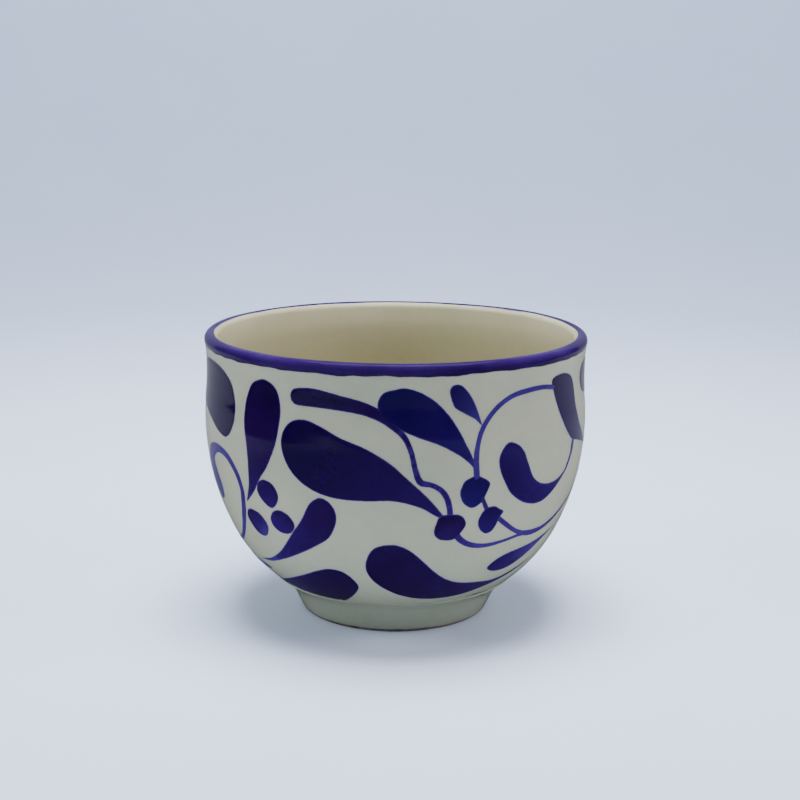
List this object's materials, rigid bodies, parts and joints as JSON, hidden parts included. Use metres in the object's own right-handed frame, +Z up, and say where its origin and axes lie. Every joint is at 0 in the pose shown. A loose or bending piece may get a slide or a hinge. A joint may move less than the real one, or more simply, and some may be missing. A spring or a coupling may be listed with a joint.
{
  "type": "teacup",
  "caption": "Small handleless teacup with a rounded bowl on a foot ring, glazed inside and out, with a coloured rim and brushed leaf, berry and vine marks.",
  "frame": {"origin": "centre of the foot ring on the table plane", "axes": "+Z up along the axis of the cup, -Y towards the front, +X to the right seen from the front"},
  "size_m": [0.0852, 0.0852, 0.0636],
  "materials": {
    "fired_clay": "matte",
    "bare_clay": "matte",
    "outside_glaze": "gloss",
    "inside_glaze": "gloss",
    "foot_glaze": "gloss",
    "cobalt_band": "gloss",
    "cobalt_pigment": "gloss",
    "green_pigment": "gloss"
  },
  "bodies": {
    "root": {"bowl_clay": "fired_clay", "foot_ring": "bare_clay", "outside_glaze": "outside_glaze", "inside_glaze": "inside_glaze", "foot_glaze": "foot_glaze", "underside_glaze": "foot_glaze", "rim_band": "cobalt_band", "front_tall_leaf": "cobalt_pigment", "front_hook_vine": "cobalt_pigment", "front_berries": "cobalt_pigment", "front_low_leaf": "cobalt_pigment", "front_base_leaf_left": "cobalt_pigment", "front_slim_leaf": "cobalt_pigment", "front_great_leaf": "cobalt_pigment", "front_upper_leaf": "cobalt_pigment", "front_small_leaf": "cobalt_pigment", "front_loop_vine": "cobalt_pigment", "front_side_leaf": "cobalt_pigment", "front_curl": "cobalt_pigment", "front_bead_high": "cobalt_pigment", "front_bead_low": "cobalt_pigment", "front_bead_left": "cobalt_pigment", "front_trail_vine": "cobalt_pigment", "front_under_vine": "cobalt_pigment", "front_point_leaf": "cobalt_pigment", "front_base_leaf": "cobalt_pigment", "front_thin_tail": "cobalt_pigment", "front_base_dab": "green_pigment", "side_leaf_left": "cobalt_pigment", "side_leaf_right": "cobalt_pigment", "side_bud_right": "cobalt_pigment", "side_bud_left": "cobalt_pigment", "side_low_leaf_right": "cobalt_pigment", "side_low_leaf_left": "cobalt_pigment", "back_tall_leaf": "cobalt_pigment", "back_hook_vine": "cobalt_pigment", "back_berries": "cobalt_pigment", "back_low_leaf": "cobalt_pigment", "back_base_leaf_left": "cobalt_pigment", "back_slim_leaf": "cobalt_pigment", "back_great_leaf": "cobalt_pigment", "back_upper_leaf": "cobalt_pigment", "back_small_leaf": "cobalt_pigment", "back_loop_vine": "cobalt_pigment", "back_side_leaf": "cobalt_pigment", "back_curl": "cobalt_pigment", "back_bead_high": "cobalt_pigment", "back_bead_low": "cobalt_pigment", "back_bead_left": "cobalt_pigment", "back_trail_vine": "cobalt_pigment", "back_under_vine": "cobalt_pigment", "back_point_leaf": "cobalt_pigment", "back_base_leaf": "cobalt_pigment", "back_base_dab": "green_pigment"}
  },
  "joints": []
}
